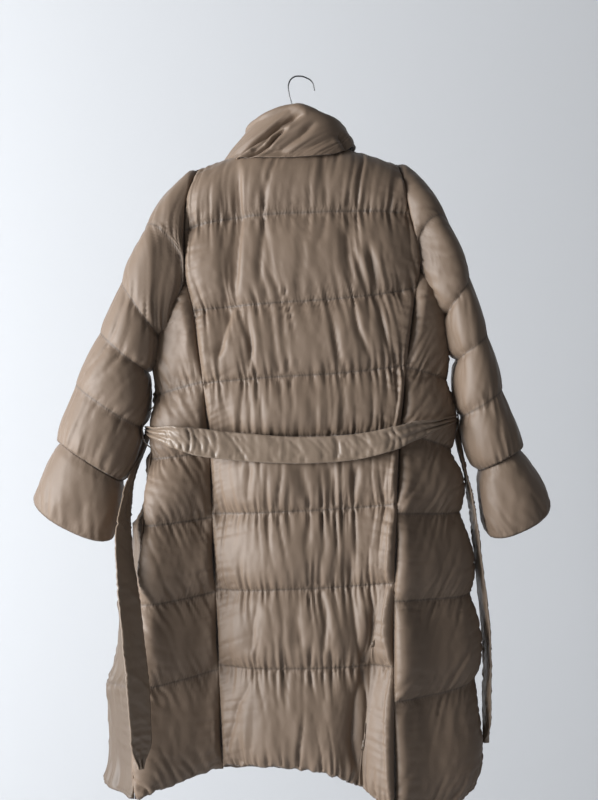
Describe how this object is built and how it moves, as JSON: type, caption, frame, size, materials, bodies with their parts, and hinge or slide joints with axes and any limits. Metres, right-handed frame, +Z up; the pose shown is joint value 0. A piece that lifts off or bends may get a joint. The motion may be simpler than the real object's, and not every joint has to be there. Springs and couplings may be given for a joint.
{
  "type": "long puffer coat on a hanger",
  "caption": "Long quilted puffer coat with a fold-over collar, wide cuffs and a loose tie belt, hanging from a wire hanger with its back shown.",
  "frame": {"origin": "the underside of the arch of the hanger's hook, where a nail or rail carries it", "axes": "+Z up, -Y the way the back of the coat faces, +X the wearer's right"},
  "size_m": [0.9642, 0.282, 1.3627],
  "materials": {
    "shell_cloth": "fine downproof weave with a soft satin sheen",
    "belt_cloth": "the same weave, doubled and topstitched",
    "black_wire": "satin black coating"
  },
  "bodies": {
    "root": {"back_center": "shell_cloth", "back_side_left": "shell_cloth", "back_side_right": "shell_cloth", "front_left": "shell_cloth", "front_right": "shell_cloth", "sleeve_left": "shell_cloth", "sleeve_right": "shell_cloth", "cuff_left": "shell_cloth", "cuff_right": "shell_cloth", "collar": "shell_cloth", "belt": "belt_cloth", "belt_loop_left": "belt_cloth", "belt_loop_right": "belt_cloth", "hanger_hook": "black_wire", "hanger_frame": "black_wire"}
  },
  "joints": []
}
